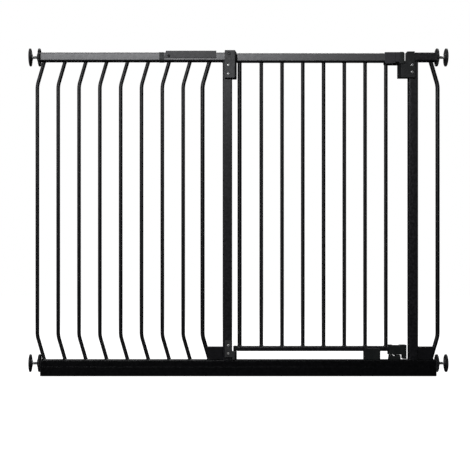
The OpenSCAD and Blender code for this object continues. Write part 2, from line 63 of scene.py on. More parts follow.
class Body(Enum):
    """The rigid bodies that pieces ride on."""

    FRAME = "frame"
    DOOR = "door"
    LOCK = "lock"


class Corner(Enum):
    """The four places of an adjuster."""

    UPPER_LEFT = "upper_left"
    LOWER_LEFT = "lower_left"
    UPPER_RIGHT = "upper_right"
    LOWER_RIGHT = "lower_right"

    @property
    def side(self) -> int:
        """-1 on the extension's side, 1 on the latch side."""
        return 1 if "right" in self.value else -1


# ---- finishes ----


class Graph:
    """A material's node tree, with short calls to add and join nodes."""

    def __init__(self, name: str) -> None:
        """Starts an empty tree with a shader, an output and object coordinates.

        Args:
            name: The material's name.
        """
        self.material = bpy.data.materials.new(name)
        self.material.use_nodes = True
        self.tree = self.material.node_tree
        self.tree.nodes.clear()
        self.shader = self.add("ShaderNodeBsdfPrincipled")
        output = self.add("ShaderNodeOutputMaterial")
        self.join(self.shader.outputs["BSDF"], output.inputs["Surface"])
        self.coords = self.add("ShaderNodeTexCoord").outputs["Object"]

    def add(self, kind: str, **settings: object) -> bpy.types.Node:
        """Adds a node.

        Args:
            kind: The node's type name.
            **settings: Attributes to set on it.

        Returns:
            The new node.
        """
        node = self.tree.nodes.new(kind)
        for key, value in settings.items():
            setattr(node, key, value)
        return node

    def join(self, output: bpy.types.NodeSocket, socket: bpy.types.NodeSocket) -> None:
        """Links an output to an input."""
        self.tree.links.new(output, socket)

    def noise(self, size: float, detail: float = 2.0, stretch: Point = (1, 1, 1)) -> bpy.types.NodeSocket:
        """Noise with features of a given size.

        Args:
            size: Feature size in metres.
            detail: Octaves.
            stretch: How much finer the noise is along each axis.

        Returns:
            The noise's value, from 0 to 1.
        """
        mapping = self.add("ShaderNodeMapping")
        mapping.inputs["Scale"].default_value = stretch
        self.join(self.coords, mapping.inputs["Vector"])
        node = self.add("ShaderNodeTexNoise")
        node.inputs["Scale"].default_value = 1 / size
        node.inputs["Detail"].default_value = detail
        self.join(mapping.outputs["Vector"], node.inputs["Vector"])
        return node.outputs["Fac"]

    def cells(self, size: float) -> bpy.types.NodeSocket:
        """Distance to the nearest cell's middle, in cells of a given size in metres."""
        node = self.add("ShaderNodeTexVoronoi")
        node.inputs["Scale"].default_value = 1 / size
        self.join(self.coords, node.inputs["Vector"])
        return node.outputs["Distance"]

    def ramp(self, value: bpy.types.NodeSocket, low: float, high: float,
             to_low: float = 0.0, to_high: float = 1.0) -> bpy.types.NodeSocket:
        """Maps low..high to to_low..to_high, smoothly and clamped.

        Args:
            value: The input.
            low: Where the output is to_low.
            high: Where it is to_high.
            to_low: Output at low.
            to_high: Output at high.

        Returns:
            The mapped value.
        """
        node = self.add("ShaderNodeMapRange", interpolation_type="SMOOTHSTEP")
        for key, number in zip(("From Min", "From Max", "To Min", "To Max"), (low, high, to_low, to_high)):
            node.inputs[key].default_value = number
        self.join(value, node.inputs["Value"])
        return node.outputs["Result"]

    def times(self, a: bpy.types.NodeSocket, b: bpy.types.NodeSocket) -> bpy.types.NodeSocket:
        """The product of two values."""
        node = self.add("ShaderNodeMath", operation="MULTIPLY")
        self.join(a, node.inputs[0])
        self.join(b, node.inputs[1])
        return node.outputs["Value"]

    def attribute(self, name: str) -> bpy.types.NodeSocket:
        """A value stored on the mesh, 0 where there is none."""
        return self.add("ShaderNodeAttribute", attribute_name=name).outputs["Fac"]

    def facing_up(self) -> bpy.types.NodeSocket:
        """1 on surfaces that face up, where dust settles, and 0 elsewhere."""
        split = self.add("ShaderNodeSeparateXYZ")
        self.join(self.add("ShaderNodeNewGeometry").outputs["Normal"], split.inputs["Vector"])
        return self.ramp(split.outputs["Z"], 0.6, 0.95)

    def blend(self, factor: bpy.types.NodeSocket, a: Colour | bpy.types.NodeSocket,
              b: Colour) -> bpy.types.NodeSocket:
        """Goes from colour a to colour b with a factor.

        Args:
            factor: 0 for a, 1 for b.
            a: A colour, or another node's colour.
            b: A colour.

        Returns:
            The mixed colour.
        """
        node = self.add("ShaderNodeMix", data_type="RGBA")
        self.join(factor, node.inputs["Factor"])
        if isinstance(a, tuple):
            node.inputs[6].default_value = (*a, 1)
        else:
            self.join(a, node.inputs[6])
        node.inputs[7].default_value = (*b, 1)
        return node.outputs[2]

    def bump(self, height: bpy.types.NodeSocket, depth: float, strength: float,
             under: bpy.types.NodeSocket | None = None) -> bpy.types.NodeSocket:
        """A bumped normal.

        Args:
            height: The height, from 0 to 1.
            depth: What 1 stands for, in metres.
            strength: The share of it that shows.
            under: A normal that this one adds to.

        Returns:
            The normal.
        """
        node = self.add("ShaderNodeBump")
        node.inputs["Distance"].default_value = depth
        node.inputs["Strength"].default_value = strength
        self.join(height, node.inputs["Height"])
        if under is not None:
            self.join(under, node.inputs["Normal"])
        return node.outputs["Normal"]

    def wire(self, **sockets: bpy.types.NodeSocket | float | Colour) -> None:
        """Joins outputs to the shader's inputs, or sets a number or a colour there.

        Args:
            **sockets: The input's name with _ for a space, and what goes in it.
        """
        for key, value in sockets.items():
            socket = self.shader.inputs[key.replace("_", " ")]
            if isinstance(value, bpy.types.NodeSocket):
                self.join(value, socket)
            elif isinstance(value, tuple):
                socket.default_value = (*value, 1)
            else:
                socket.default_value = value


@dataclass(frozen=True)
class PowderCoat:
    """Baked powder paint: fine orange peel, a soft sheen, rubbed edges and a little dust."""

    name: str
    deep: Colour = (0.0048, 0.0048, 0.0057)
    light: Colour = (0.0064, 0.0062, 0.0076)
    rubbed: Colour = (0.026, 0.025, 0.029)
    dust: Colour = (0.014, 0.0135, 0.0135)
    peel_size: float = 1.6 * MM
    grit_size: float = 0.4 * MM
    sheen: float = 0.37
    specular: float = 0.30

    def material(self) -> bpy.types.Material:
        """The node material."""
        g = Graph(self.name)
        cloud, grit, peel = g.noise(60 * MM, 4), g.noise(self.grit_size, 1), g.noise(self.peel_size, 2)
        worn = g.times(g.attribute("edge_wear"), g.ramp(g.noise(7 * MM, 5), 0.42, 0.62))
        settled = g.times(g.facing_up(), g.ramp(g.noise(18 * MM, 6), 0.35, 0.8, 0.0, 0.4))
        colour = g.blend(g.ramp(cloud, *MIDDLE), self.deep, self.light)
        colour = g.blend(worn, colour, self.rubbed)
        colour = g.blend(settled, colour, self.dust)
        g.wire(Base_Color=colour, Specular_IOR_Level=self.specular,
               Roughness=g.ramp(g.noise(9 * MM, 4), *MIDDLE, self.sheen - 0.03, self.sheen + 0.04),
               Normal=g.bump(peel, 0.014 * MM, 0.4, g.bump(grit, 0.004 * MM, 0.3)))
        return g.material


@dataclass(frozen=True)
class Moulding:
    """Injection-moulded plastic with a spark-eroded grain and burnished edges."""

    name: str
    deep: Colour
    light: Colour
    burnished: Colour
    grain_size: float = 0.5 * MM
    grain_depth: float = 0.05 * MM
    roughness: float = 0.5
    specular: float = 0.4

    def material(self) -> bpy.types.Material:
        """The node material."""
        g = Graph(self.name)
        grain = g.cells(self.grain_size)
        flow = g.noise(22 * MM, 5, (1, 1, 0.4))
        worn = g.times(g.attribute("edge_wear"), g.ramp(g.noise(4 * MM, 5), 0.35, 0.6))
        colour = g.blend(g.ramp(flow, *MIDDLE), self.deep, self.light)
        colour = g.blend(worn, colour, self.burnished)
        g.wire(Base_Color=colour, Specular_IOR_Level=self.specular,
               Roughness=g.ramp(g.noise(6 * MM, 4), *MIDDLE, self.roughness - 0.06, self.roughness + 0.08),
               Normal=g.bump(grain, self.grain_depth, 0.6, g.bump(g.noise(3 * MM, 3), 0.08 * MM, 0.25)))
        return g.material


@dataclass(frozen=True)
class Plating:
    """Bright zinc on steel: drawn streaks, faint passivation tints, dark oil in thread grooves and painted
    shade in screw recesses.
    """

    name: str
    bright: Colour = (0.66, 0.67, 0.70)
    tint: Colour = (0.58, 0.57, 0.50)
    # dark oil in thread grooves, and painted shade in a screw's cross recess
    hollow: Colour = (0.10, 0.10, 0.10)
    streak: Point = (1, 1, 1)
    roughness: float = 0.27
    metallic: float = 1.0

    def material(self) -> bpy.types.Material:
        """The node material."""
        g = Graph(self.name)
        streaks = g.noise(0.5 * MM, 3, self.streak)
        colour = g.blend(g.ramp(g.noise(3 * MM, 3), 0.35, 0.7), self.bright, self.tint)
        # darkens thread grooves as oil and screw recesses as painted shade
        colour = g.blend(g.ramp(g.attribute("hollow"), 0.25, 0.95), colour, self.hollow)
        g.wire(Base_Color=colour, Metallic=self.metallic,
               Roughness=g.ramp(streaks, *MIDDLE, self.roughness - 0.07, self.roughness + 0.10),
               Normal=g.bump(streaks, 0.02 * MM, 0.4))
        return g.material


@dataclass(frozen=True)
class Rubber:
    """The soft facing of a wall pad: dead matt, with a fine dimple and a dusty bloom."""

    name: str
    deep: Colour = (0.016, 0.016, 0.017)
    bloom: Colour = (0.045, 0.045, 0.046)
    dimple_size: float = 0.9 * MM

    def material(self) -> bpy.types.Material:
        """The node material."""
        g = Graph(self.name)
        colour = g.blend(g.ramp(g.noise(8 * MM, 6), 0.45, 0.8, 0.0, 0.7), self.deep, self.bloom)
        g.wire(Base_Color=colour, Specular_IOR_Level=0.25,
               Roughness=g.ramp(g.noise(5 * MM, 3), *MIDDLE, 0.74, 0.9),
               Normal=g.bump(g.cells(self.dimple_size), 0.08 * MM, 0.7))
        return g.material


@dataclass(frozen=True)
class StudioPaper:
    """The studio's white floor, which glows evenly so that it shows no horizon or shadow."""

    name: str
    colour: Colour = (0.30, 0.30, 0.30)
    glow: float = 1.0

    def material(self) -> bpy.types.Material:
        """The node material."""
        g = Graph(self.name)
        shade = tuple(0.96 * c for c in self.colour)
        g.wire(Base_Color=g.blend(g.noise(0.4, 3), self.colour, shade), Specular_IOR_Level=0.0,
               Emission_Color=(1.0, 1.0, 1.0), Emission_Strength=self.glow,
               Roughness=g.ramp(g.noise(0.25, 3), *MIDDLE, 0.60, 0.70))
        return g.material


@dataclass(frozen=True)
class Palette:
    """Every finish on the gate, by the record's slot."""

    frame_coat: PowderCoat = PowderCoat("frame_coat")
    # painted light: the frame paint made lighter and glossier, so the top rails look more brightly lit than
    # the posts
    rail_coat_painted_light: PowderCoat = PowderCoat("rail_coat_painted_light", deep=(0.0100, 0.0100, 0.0112),
                                       light=(0.0125, 0.0124, 0.0140), specular=0.78)
    # painted shade: the frame paint made darker and duller, so the base rails look shaded
    base_coat_painted_shade: PowderCoat = PowderCoat("base_coat_painted_shade", deep=(0.0018, 0.0018, 0.0021),
                                       light=(0.0026, 0.0025, 0.0031), rubbed=(0.008, 0.008, 0.009),
                                       dust=(0.004, 0.004, 0.004), specular=0.14)
    bar_coat: PowderCoat = PowderCoat("bar_coat", deep=(0.0044, 0.0044, 0.0050),
                                      light=(0.0056, 0.0055, 0.0063), sheen=0.40, specular=0.34)
    bracket_plastic: Moulding = Moulding("bracket_plastic", (0.020, 0.020, 0.021), (0.031, 0.031, 0.032),
                                         (0.06, 0.06, 0.062), roughness=0.52)
    latch_plastic: Moulding = Moulding("latch_plastic", (0.019, 0.019, 0.023), (0.027, 0.026, 0.031),
                                       (0.055, 0.055, 0.06), grain_size=0.4 * MM, grain_depth=0.02 * MM,
                                       roughness=0.5, specular=0.3)
    # painted shade: the bracket moulding made darker, so the latch receiver looks shaded
    receiver_plastic_painted_shade: Moulding = Moulding("receiver_plastic_painted_shade", (0.008, 0.0085, 0.009),
                                          (0.012, 0.0125, 0.013), (0.03, 0.031, 0.032),
                                          roughness=0.5, specular=0.22)
    dark_plastic: Moulding = Moulding("dark_plastic", (0.009, 0.0105, 0.010), (0.014, 0.016, 0.0155),
                                      (0.04, 0.042, 0.041), grain_size=0.35 * MM, grain_depth=0.015 * MM,
                                      roughness=0.44, specular=0.22)
    wheel_plastic: Moulding = Moulding("wheel_plastic", (0.012, 0.012, 0.013), (0.019, 0.019, 0.020),
                                       (0.05, 0.05, 0.052), roughness=0.46, specular=0.25)
    pad_plastic: Moulding = Moulding("pad_plastic", (0.012, 0.012, 0.013), (0.018, 0.018, 0.019),
                                     (0.045, 0.045, 0.047), roughness=0.55, specular=0.25)
    pad_facing: Rubber = Rubber("pad_facing")
    spindle_steel: Plating = Plating("spindle_steel", streak=(8, 1, 1), roughness=0.42, metallic=0.6)
    zinc: Plating = Plating("zinc", streak=(1, 6, 1), roughness=0.42, metallic=0.7)

    def made(self) -> dict[str, bpy.types.Material]:
        """One material for each finish, by name."""
        return {key: finish.material() for key, finish in vars(self).items()}


# ---- mesh helpers ----


def new_piece(name: str, mesh: bpy.types.Mesh) -> bpy.types.Object:
    """Puts a mesh in the scene as a piece."""
    piece = bpy.data.objects.new(name, mesh)
    bpy.context.scene.collection.objects.link(piece)
    return piece


def smooth(mesh: bpy.types.Mesh, angle: float = 32.0) -> None:
    """Shades a mesh smooth, with edges sharper than an angle in degrees kept crisp."""
    mesh.shade_smooth()
    mesh.set_sharp_from_angle(angle=math.radians(angle))


def store(mesh: bpy.types.Mesh, name: str, values: Sequence[float]) -> None:
    """Stores a value for each vertex.

    Args:
        mesh: The mesh.
        name: The attribute's name.
        values: One number per vertex.
    """
    attribute = mesh.attributes.get(name) or mesh.attributes.new(name, "FLOAT", "POINT")
    attribute.data.foreach_set("value", np.asarray(values, np.float32))


def mark_edges(mesh: bpy.types.Mesh, low: float = 12.0, high: float = 36.0) -> None:
    """Stores how exposed each vertex is, for the finishes to rub.

    Args:
        mesh: The mesh.
        low: Turn between faces, in degrees, that isn't an edge yet.
        high: Turn that is a full edge.
    """
    wear = np.zeros(len(mesh.vertices))
    bm = bmesh.new()
    bm.from_mesh(mesh)
    for edge in bm.edges:
        if len(edge.link_faces) == 2:
            turn = math.degrees(edge.calc_face_angle_signed(0.0))
            level = min(1.0, max(0.0, (turn - low) / (high - low)))
            for vertex in edge.verts:
                wear[vertex.index] = max(wear[vertex.index], level)
    bm.free()
    store(mesh, "edge_wear", wear)


def welded(node: str) -> bmesh.types.BMesh:
    """A copy of a CAD node's mesh with its split vertices joined."""
    bm = bmesh.new()
    bm.from_mesh(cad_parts[node].data)
    bmesh.ops.remove_doubles(bm, verts=bm.verts, dist=MERGE_DISTANCE)
    return bm


def settle(piece: bpy.types.Object) -> None:
    """Applies the piece's modifiers to its mesh, and takes them off."""
    bpy.context.view_layer.update()
    before = piece.data
    shape = piece.evaluated_get(bpy.context.evaluated_depsgraph_get())
    mesh = bpy.data.meshes.new_from_object(shape)
    piece.modifiers.clear()
    piece.data = mesh
    bpy.data.meshes.remove(before)
    mesh.name = piece.name


def softened(node: str, name: str, bevel: float, segments: int = 3,
             angle: float = 32.0) -> bpy.types.Object:
    """A CAD node's shape with its hard edges rounded over.

    Args:
        node: The CAD node.
        name: The new piece's name.
        bevel: Radius of the rounding, in metres.
        segments: Steps in it.
        angle: Turn between faces, in degrees, that counts as a hard edge.

    Returns:
        The new piece, in place.
    """
    bm = welded(node)
    bmesh.ops.dissolve_limit(bm, angle_limit=FLAT_TURN, verts=bm.verts, edges=bm.edges)
    bmesh.ops.recalc_face_normals(bm, faces=bm.faces)
    mesh = bpy.data.meshes.new(name)
    bm.to_mesh(mesh)
    bm.free()
    piece = new_piece(name, mesh)
    rounding = piece.modifiers.new("rounding", "BEVEL")
    rounding.width, rounding.segments = bevel, segments
    rounding.limit_method, rounding.angle_limit = "ANGLE", math.radians(angle)
    rounding.use_clamp_overlap = False
    rounding.miter_outer = "MITER_ARC"
    settle(piece)
    mark_edges(piece.data)
    smooth(piece.data, 40.0)
    evened = piece.modifiers.new("evened", "WEIGHTED_NORMAL")
    evened.keep_sharp, evened.weight = True, 100
    settle(piece)
    return piece


def grid_mesh(name: str, rings: np.ndarray, closed: bool) -> bpy.types.Mesh:
    """A skin over rings of points.

    Args:
        name: The mesh's name.
        rings: Points as an array of rings x points x 3, each ring closed on itself.
        closed: True joins the last ring to the first, False caps both ends.

    Returns:
        The mesh, with its faces turned outwards.
    """
    count, around = rings.shape[:2]
    faces = []
    for i in range(count if closed else count - 1):
        a, b = i * around, (i + 1) % count * around
        for j in range(around):
            k = (j + 1) % around
            faces.append((a + j, a + k, b + k, b + j))
    if not closed:
        faces.append(tuple(reversed(range(around))))
        faces.append(tuple(range((count - 1) * around, count * around)))
    mesh = bpy.data.meshes.new(name)
    mesh.from_pydata(rings.reshape(-1, 3).tolist(), [], faces)
    bm = bmesh.new()
    bm.from_mesh(mesh)
    bmesh.ops.recalc_face_normals(bm, faces=bm.faces)
    bm.to_mesh(mesh)
    bm.free()
    return mesh


@dataclass
class Dresser:
    """Gives each piece its finish and its body, and logs its slot."""

    materials: dict[str, bpy.types.Material]

    def dress(self, piece: bpy.types.Object, body: str, slot: str, *nodes: str,
              finish: str | None = None) -> bpy.types.Object:
        """Finishes a piece and fixes it to its body.

        Args:
            piece: The piece, in place.
            body: The body that it rides on.
            slot: The record's slot.
            *nodes: The CAD nodes that it stands for.
            finish: The finish, where it isn't the slot's own.

        Returns:
            The piece.
        """
        piece.data.materials.clear()
        piece.data.materials.append(self.materials[finish or slot])
        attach(piece, body)
        if nodes:
            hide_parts(*nodes)
        LOG.info("%s on %s in %s", piece.name, body, slot)
        return piece

    def soften(self, node: str, body: Body, slot: str, bevel: float, segments: int = 3,
               finish: str | None = None) -> bpy.types.Object:
        """Replaces a CAD node by its softened shape.

        Args:
            node: The CAD node.
            body: Its body.
            slot: Its slot.
            bevel: Radius of the rounding, in metres.
            segments: Steps in it.
            finish: The finish, where it isn't the slot's own.

        Returns:
            The piece.
        """
        piece = softened(node, node + "_piece", bevel, segments)
        return self.dress(piece, body.value, slot, node, finish=finish)

    def finish_node(self, node: str, slot: str) -> None:
        """Gives a CAD node that stays its finish."""
        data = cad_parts[node].data
        data.materials.clear()
        data.materials.append(self.materials[slot])
        LOG.info("%s keeps its shape, in %s", node, slot)


# ---- bars ----


@dataclass
class BarMaker:
    """Round bars with a weld fillet at each end, straight or stepped sideways."""

    bend_radius: float = 80 * MM
    lean: float = 0.28 / 0.96
    sin_lean: float = 0.28
    fillet: float = 2.2 * MM
    fillet_height: float = 3.0 * MM
    fillet_power: float = 2.2
    fillet_steps: tuple[float, ...] = (0, 0.12, 0.28, 0.5, 0.75, 1.0)
    ripples: int = 9
    ripple_share: float = 0.16
    ripple_phase: float = 1.3
    bend_steps: int = 13
    sides: int = 40

    def sideways(self, height: float, bend_height: float) -> tuple[float, float]:
        """How far a bent bar has stepped, and the cosine of its lean there.

        Args:
            height: Distance past the end of the straight run.
            bend_height: Distance from there to the bar's foot, which limits it.

        Returns:
            The step in metres, and the cosine of the lean.
        """
        reach = min(height, bend_height)
        bent = self.bend_radius * self.sin_lean
        if reach <= 0:
            return 0.0, 1.0
        if reach < bent:
            sine = reach / self.bend_radius
            return self.bend_radius * (1 - math.sqrt(1 - sine * sine)), math.sqrt(1 - sine * sine)
        cosine = math.sqrt(1 - self.sin_lean**2)
        return self.bend_radius * (1 - cosine) + (reach - bent) * self.lean, cosine

    def heights(self, low: float, high: float, bend_height: float) -> list[float]:
        """Heights of the rings: close together at the fillets and in the bends."""
        near = [self.fillet_height * share for share in self.fillet_steps]
        bends = []
        if bend_height:
            start = bend_height - self.bend_radius * self.sin_lean
            bends = list(np.linspace(start, bend_height, self.bend_steps))
        lower = near + bends
        return [low + h for h in lower] + [high - h for h in reversed(lower)]

    def bar(self, name: str, x: float, low: float, high: float, radius: float,
            towards: int = 0, bend_height: float = 0.0) -> bpy.types.Object:
        """One bar.

        Args:
            name: The piece's name.
            x: Middle of the straight run.
            low: Height of its foot.
            high: Height of its head.
            radius: Bar radius.
            towards: Side that the ends step to, 0 for a straight bar.
            bend_height: Height of each stepped end.

        Returns:
            The piece.
        """
        turn = np.linspace(0, TAU, self.sides, endpoint=False)
        rings = []
        for z in self.heights(low, high, bend_height):
            from_end = min(z - low, high - z)
            step, cosine = self.sideways(bend_height - from_end, bend_height) if towards else (0.0, 1.0)
            rise = max(0.0, 1 - from_end / self.fillet_height)
            ripple = 1 + self.ripple_share * np.sin(self.ripples * turn + self.ripple_phase)
            r = radius + self.fillet * rise**self.fillet_power * ripple
            rings.append(np.stack([x + towards * step + r / cosine * np.cos(turn),
                                   r * np.sin(turn), np.full_like(turn, z)], axis=1))
        mesh = grid_mesh(name, np.array(rings), closed=False)
        smooth(mesh, 50.0)
        return new_piece(name, mesh)


@dataclass
class BarSet:
    """The extension's bars and the gate's two side bars."""

    dresser: Dresser
    maker: BarMaker = field(default_factory=BarMaker)
    bend_height: float = 86.9 * MM

    def bent(self, node: str, towards: int) -> None:
        """Replaces one bent bar.

        Args:
            node: Its CAD node.
            towards: Side that its ends step to.
        """
        low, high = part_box(node)
        radius = (high.y - low.y) / 2
        x = low.x + radius if towards > 0 else high.x - radius
        piece = self.maker.bar(node + "_piece", x, low.z, high.z, radius, towards, self.bend_height)
        self.dresser.dress(piece, Body.FRAME.value, "bar_coat", node)

    def build(self) -> None:
        """Builds every bent bar."""
        for node in sorted(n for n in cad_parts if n.startswith("extension_bar_")):
            self.bent(node, 1)
        self.bent("left_side_bar", 1)
        self.bent("right_side_bar", -1)


# ---- tubes of the frame ----


@dataclass
class WeldBead:
    """A rippled bead laid round the end of a rectangular tube."""

    width: float
    depth: float
    corner: float = 4.5 * MM
    radius: float = 1.5 * MM
    ripple: float = 0.28 * MM
    pitch: float = 2.0 * MM
    around: int = 10
    corner_steps: int = 7
    ripple_steps: int = 4

    def path(self) -> np.ndarray:
        """Points round the tube's outline, with the outward direction at each."""
        w, d, r = self.width / 2 - self.corner, self.depth / 2 - self.corner, self.corner
        points = []
        for k, (cx, cy) in enumerate([(w, d), (-w, d), (-w, -d), (w, -d)]):
            for t in np.linspace(0, 1, self.corner_steps):
                a = (k + t) * math.pi / 2
                points.append((cx + r * math.cos(a), cy + r * math.sin(a), math.cos(a), math.sin(a)))
        points.append(points[0])
        out = []
        for p, q in zip(points, points[1:]):
            steps = max(1, round(math.dist(p[:2], q[:2]) / (self.pitch / self.ripple_steps)))
            out += [tuple(np.array(p) + (np.array(q) - np.array(p)) * s / steps) for s in range(steps)]
        return np.array(out)

    def build(self, name: str, centre: Point) -> bpy.types.Object:
        """Lays the bead.

        Args:
            name: The piece's name.
            centre: Middle of the tube's end.

        Returns:
            The piece.
        """
        path = self.path()
        gone = np.concatenate([[0], np.cumsum(np.linalg.norm(np.diff(path[:, :2], axis=0), axis=1))])
        swell = self.radius + self.ripple * np.abs(np.sin(math.pi * gone / self.pitch))
        turn = np.linspace(0, TAU, self.around, endpoint=False)
        rings = [[(centre[0] + x + nx * r * math.cos(a), centre[1] + y + ny * r * math.cos(a),
                   centre[2] + r * math.sin(a)) for a in turn]
                 for (x, y, nx, ny), r in zip(path, swell)]
        mesh = grid_mesh(name, np.array(rings), closed=True)
        smooth(mesh, 60.0)
        return new_piece(name, mesh)


@dataclass
class TubeFrame:
    """The gate's fixed tubes, their gussets and the beads that join them."""

    dresser: Dresser
    edge: float = 0.5 * MM
    gusset_edge: float = 1.2 * MM
    cope: float = 3 * MM

    def build(self) -> None:
        """Builds the rails, the posts, the gussets and the beads."""
        for node in ("hinge_post", "latch_post", "right_top_stub"):
            self.dresser.soften(node, Body.FRAME, "frame_coat", self.edge, 2)
        # the base rails take the darker copy of the frame paint: painted shade
        for node in ("base_rail", "extension_base_rail"):
            self.dresser.soften(node, Body.FRAME, "frame_coat", self.edge, 2, finish="base_coat_painted_shade")
        # the top rails take the lighter, glossier copy of the frame paint: painted light
        for node in ("left_top_stub", "extension_top_rail"):
            self.dresser.soften(node, Body.FRAME, "frame_coat", self.edge, 2, finish="rail_coat_painted_light")
        for node in ("left_gusset", "right_gusset"):
            self.dresser.soften(node, Body.FRAME, "frame_coat", self.gusset_edge)
        self.dresser.finish_node("base_spigot", "frame_coat")
        for node in ("hinge_post", "latch_post"):
            low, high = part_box(node)
            bead = WeldBead(high.x - low.x, high.y - low.y)
            for end, z in (("foot", low.z + self.cope), ("head", high.z - self.cope)):
                piece = bead.build(f"{node}_{end}_weld", ((low.x + high.x) / 2, (low.y + high.y) / 2, z))
                self.dresser.dress(piece, Body.FRAME.value, "frame_coat")


# ---- door ----


@dataclass
class Door:
    """The swinging leaf: two rails, the hinge stile, its bars and the hinge eyes."""

    dresser: Dresser
    maker: BarMaker = field(default_factory=BarMaker)
    edge: float = 0.5 * MM
    eye_edge: float = 0.7 * MM

    def upright(self, node: str) -> None:
        """Replaces one straight upright."""
        low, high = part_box(node)
        piece = self.maker.bar(node + "_piece", (low.x + high.x) / 2, low.z, high.z, (high.y - low.y) / 2)
        self.dresser.dress(piece, Body.DOOR.value, "bar_coat", node)

    def build(self) -> None:
        """Builds the leaf."""
        # the top rail takes the lighter, glossier copy of the frame paint: painted light
        self.dresser.soften("door_top_rail", Body.DOOR, "frame_coat", self.edge, 2, finish="rail_coat_painted_light")
        self.dresser.soften("door_bottom_rail", Body.DOOR, "frame_coat", self.edge, 2)
        for node in sorted(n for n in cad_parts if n.startswith("door_bar_")):
            self.upright(node)
        self.upright("hinge_stile")
        self.dresser.soften("hinge_eyes", Body.DOOR, "dark_plastic", self.eye_edge)


# ---- screws ----


@dataclass
class PanHeadScrew:
    """A pan-head screw with a cross recess, drawn with its head towards +Z."""

    head_radius: float = 4.1 * MM
    head_height: float = 2.4 * MM
    rim_height: float = 1.0 * MM
    arm_width: float = 1.15 * MM
    arm_length: float = 4.9 * MM
    recess_depth: float = 1.6 * MM
    wall: float = 0.22 * MM
    arm_taper: float = 0.25
    dome_power: float = 3.2
    centre_share: float = 0.004
    chamfer: float = 0.15 * MM
    shank_radius: float = 2.2 * MM
    rings: int = 34
    sides: int = 96

    def recess(self, x: np.ndarray, y: np.ndarray) -> np.ndarray:
        """How deep the cross is cut at a point, from 0 to 1."""

        def arm(across: np.ndarray, along: np.ndarray) -> np.ndarray:
            """One arm of the cross, tapered along its length."""
            half = self.arm_width / 2 * (1 - self.arm_taper * np.abs(along) / self.arm_length)
            inside = np.clip((half - np.abs(across)) / self.wall + 0.5, 0, 1)
            ends = np.clip((self.arm_length / 2 - np.abs(along)) / (2 * self.wall) + 0.5, 0, 1)
            return inside * ends

        return np.maximum(arm(x, y), arm(y, x))

    def build(self, name: str, seat: Point, turn: float, shank: float) -> bpy.types.Object:
        """Makes one screw, driven towards +Y.

        Args:
            name: The piece's name.
            seat: Middle of the head's underside.
            turn: Angle of the cross in degrees.
            shank: Length of the shank.

        Returns:
            The piece.
        """
        around = np.linspace(0, TAU, self.sides, endpoint=False)
        angle = around - math.radians(turn)
        rows, cuts = [], []
        for k in range(self.rings + 1):
            share = max(k / self.rings, self.centre_share)
            r = self.head_radius * share
            crown = math.sqrt(max(0.0, 1 - share**self.dome_power))
            dome = self.rim_height + (self.head_height - self.rim_height) * crown
            cut = self.recess(r * np.cos(angle), r * np.sin(angle))
            face = dome - self.recess_depth * cut
            rows.append(np.stack([r * np.cos(around), r * np.sin(around), face], axis=1))
            cuts.append(cut)
        for r, z in ((self.head_radius, self.chamfer), (self.head_radius - self.chamfer, 0.0),
                     (self.shank_radius, 0.0), (self.shank_radius, -shank)):
            rows.append(np.stack([r * np.cos(around), r * np.sin(around), np.full_like(around, z)], axis=1))
            cuts.append(np.zeros_like(around))
        mesh = grid_mesh(name, np.array(rows), closed=False)
        # how deep the cross is cut, which the plating darkens as painted shade in the recess
        store(mesh, "hollow", np.concatenate(cuts))
        mesh.transform(Matrix.Translation(seat) @ Matrix.Rotation(math.pi / 2, 4, "X"))
        smooth(mesh, 45.0)
        return new_piece(name, mesh)


# ---- hinge side ----


@dataclass
class HingeSide:
    """The two hinge brackets, their pins and every screw on the frame."""

    dresser: Dresser
    screw: PanHeadScrew = field(default_factory=PanHeadScrew)
    bracket_edge: float = 1.0 * MM
    shank: float = 6.0 * MM
    seats: tuple[tuple[str, float, float], ...] = (
        ("upper_hinge_bracket", -32.2, 990.0), ("upper_hinge_bracket", -32.2, 962.5),
        ("lower_hinge_bracket", -32.2, 73.0), ("lower_hinge_bracket", -32.2, 99.0),
        ("latch_receiver", 552.5, 991.0), ("latch_receiver", 552.5, 968.5),
        ("top_joint_sleeve", -221.6, 1021.0))

    def build(self) -> None:
        """Builds the brackets, the pins and the screws."""
        for node in ("upper_hinge_bracket", "lower_hinge_bracket"):
            self.dresser.soften(node, Body.FRAME, "bracket_plastic", self.bracket_edge)
        self.dresser.soften("hinge_pins", Body.FRAME, "zinc", 0.4 * MM)
        for k, (node, x, z) in enumerate(self.seats):
            seat = (x * MM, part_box(node)[0].y, z * MM)
            piece = self.screw.build(f"frame_screw_{k + 1}", seat, 17.0 + 31.0 * k, self.shank)
            if node == "top_joint_sleeve":
                self.dresser.dress(piece, Body.FRAME.value, "zinc", finish="dark_plastic")
            else:
                self.dresser.dress(piece, Body.FRAME.value, "zinc", *(("frame_screws",) if k == 0 else ()))


# ---- latch side ----


@dataclass
class LatchSide:
    """Receiver, latch housing, tongue, lock, lower latch, floor catch and door stop."""

    dresser: Dresser
    edge: float = 0.9 * MM

    def build(self) -> None:
        """Builds the latch."""
        soften = self.dresser.soften
        # the receiver is bracket moulding, given a darker copy of it as painted shade
        soften("latch_receiver", Body.FRAME, "bracket_plastic", self.edge, finish="receiver_plastic_painted_shade")
        soften("floor_catch", Body.FRAME, "dark_plastic", self.edge)
        soften("door_stop", Body.FRAME, "dark_plastic", self.edge)
        soften("latch_housing", Body.DOOR, "latch_plastic", self.edge)
        soften("latch_tongue", Body.DOOR, "dark_plastic", self.edge)
        soften("lower_latch_housing", Body.DOOR, "dark_plastic", self.edge)
        soften("lock_bolt", Body.LOCK, "zinc", 0.3 * MM)
        soften("thumb_slide", Body.LOCK, "latch_plastic", 0.5 * MM)


# ---- extension joint and rail ends ----


